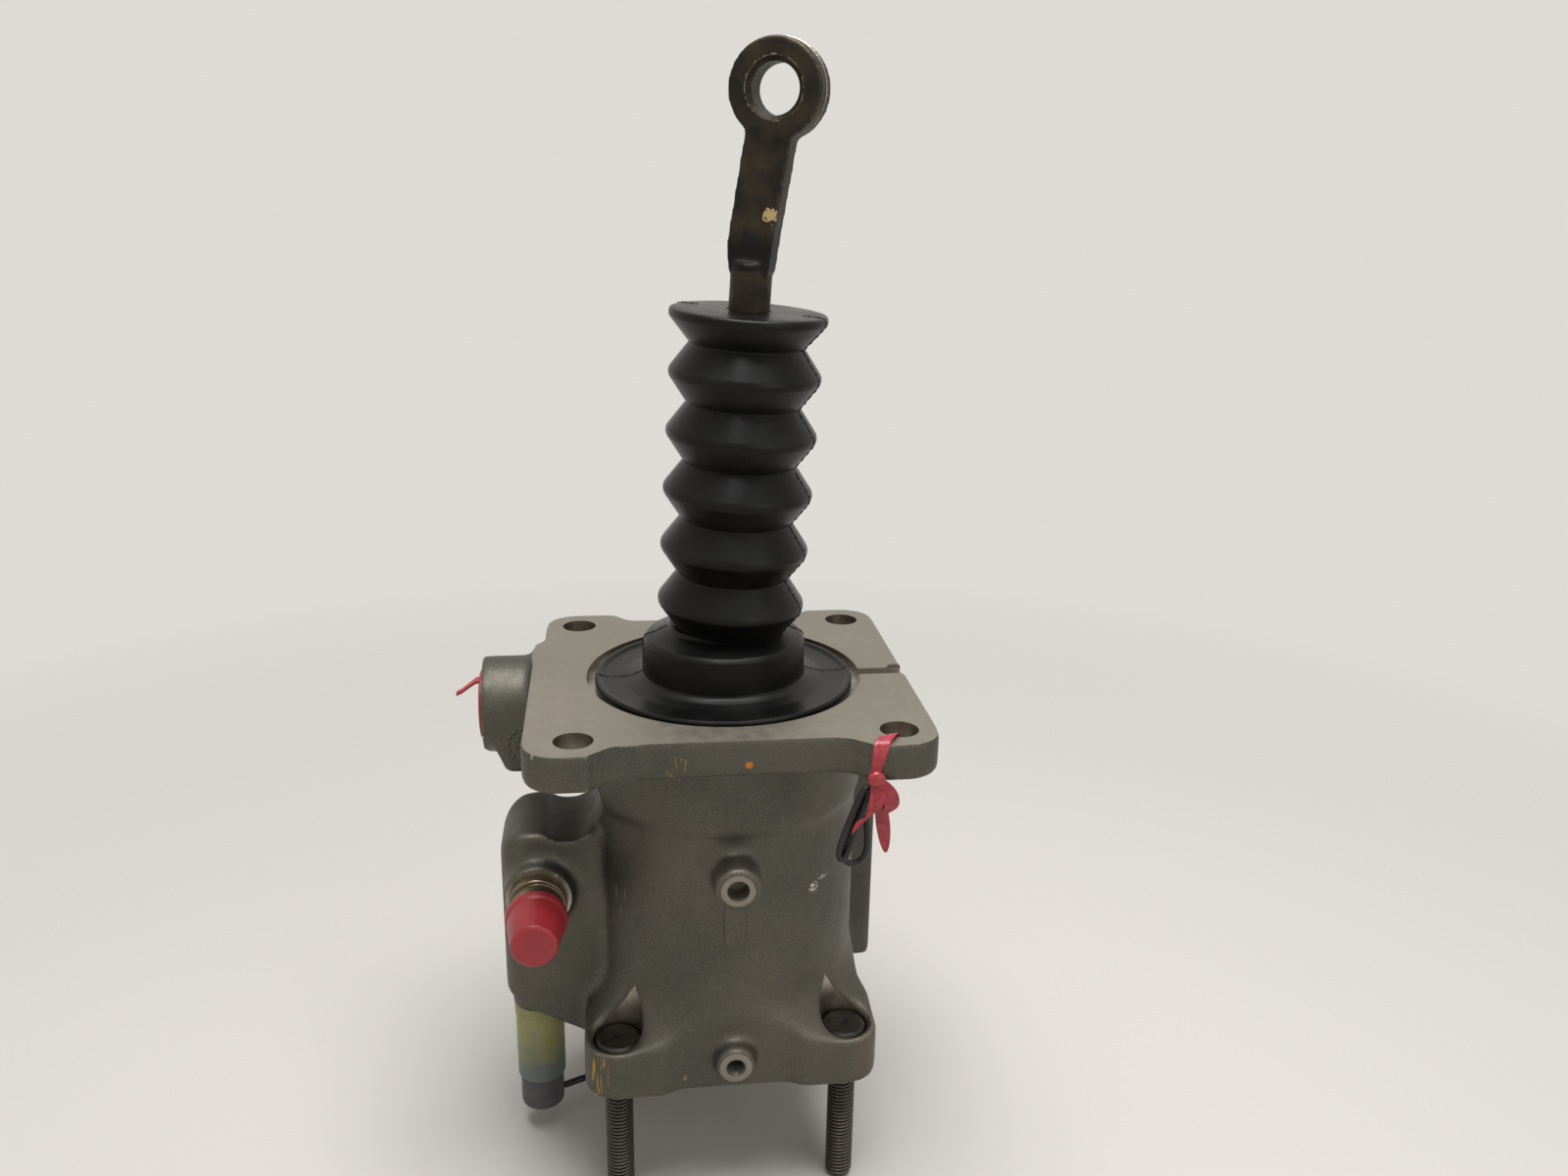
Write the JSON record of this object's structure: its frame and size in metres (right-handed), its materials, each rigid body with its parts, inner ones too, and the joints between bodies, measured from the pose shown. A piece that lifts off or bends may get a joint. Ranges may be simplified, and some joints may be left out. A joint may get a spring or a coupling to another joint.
{
  "type": "hydraulic brake booster",
  "caption": "Cast aluminium hydraulic brake booster with flanged ends, a rubber bellows round a forged eye push rod, capped fluid ports, a level switch with its lead and stud bolts in the base",
  "frame": {"origin": "centre of the base mating face, on the bore axis, in the plane where the base bolts leave the housing", "axes": "+Z along the bore towards the push rod, -Y towards the side with the capped pressure port, +X to the right when that side is faced"},
  "size_m": [0.1645, 0.1499, 0.4033],
  "materials": {
    "cast_aluminium": "sand cast, unpainted, slightly bronzed",
    "machined_aluminium": "turned",
    "spring_steel": "oiled",
    "fitting_steel": "zinc plated",
    "black_steel": "phosphated",
    "forged_steel": "forged, brown black phosphate",
    "bush_bronze": "turned bronze",
    "seal_rubber": "moulded",
    "boot_rubber": "satin moulded",
    "lead_rubber": "smooth sheath",
    "red_plastic": "soft moulded",
    "yellow_plastic": "translucent sleeve",
    "grey_plastic": "moulded",
    "band_plastic": "machined"
  },
  "bodies": {
    "housing": {"housing": "cast_aluminium", "piston_guide": "machined_aluminium", "guide_circlip": "spring_steel", "rod_seal": "seal_rubber", "output_bush": "bush_bronze", "output_seal": "seal_rubber", "base_bolts": "black_steel", "boot": "boot_rubber", "pressure_fitting": "fitting_steel", "fitting_washer": "machined_aluminium", "switch_body": "fitting_steel", "switch_sleeve": "yellow_plastic", "switch_end": "grey_plastic", "switch_lead": "lead_rubber", "lead_connector": "grey_plastic", "spare_seal_ring": "seal_rubber", "tie_tape": "red_plastic", "return_spring": "spring_steel"},
    "piston": {"piston": "machined_aluminium", "piston_seal": "seal_rubber", "piston_band": "band_plastic", "output_rod": "fitting_steel", "reaction_disc": "seal_rubber", "valve_spring": "spring_steel"},
    "plunger": {"plunger": "fitting_steel", "valve_spool": "fitting_steel", "ball_retainer": "spring_steel"},
    "push_rod": {"push_rod": "forged_steel"},
    "pressure_cap": {"pressure_cap": "red_plastic"},
    "return_plug": {"return_plug": "red_plastic"}
  },
  "joints": [
    {"name": "plunger_slide", "type": "slide", "parent": "housing", "child": "plunger", "axis": [0, 0, -1], "range_m": [0, 0.038], "stiffness_N_per_m": 3000, "springref_m": -0.02, "deforming": ["boot", "valve_spring"]},
    {"name": "piston_slide", "type": "slide", "parent": "housing", "child": "piston", "axis": [0, 0, -1], "range_m": [0, 0.0361], "deforming": ["return_spring"]},
    {"name": "push_rod_tilt", "type": "hinge", "parent": "plunger", "child": "push_rod", "pos_m": [0, 0, 0.126], "axis": [0.4384, 0.8988, 0], "range_deg": [-6.6, 1.5], "stiffness_Nm_per_rad": 1.5},
    {"name": "pressure_cap_pull", "type": "slide", "parent": "housing", "child": "pressure_cap", "axis": [0, -1, 0], "range_m": [0, 0.025]},
    {"name": "return_plug_pull", "type": "slide", "parent": "housing", "child": "return_plug", "axis": [-1, 0, 0], "range_m": [0, 0.02]}
  ],
  "couplings": [
    {"joint": "piston_slide", "follows": "plunger_slide", "ratio": 0.95}
  ]
}
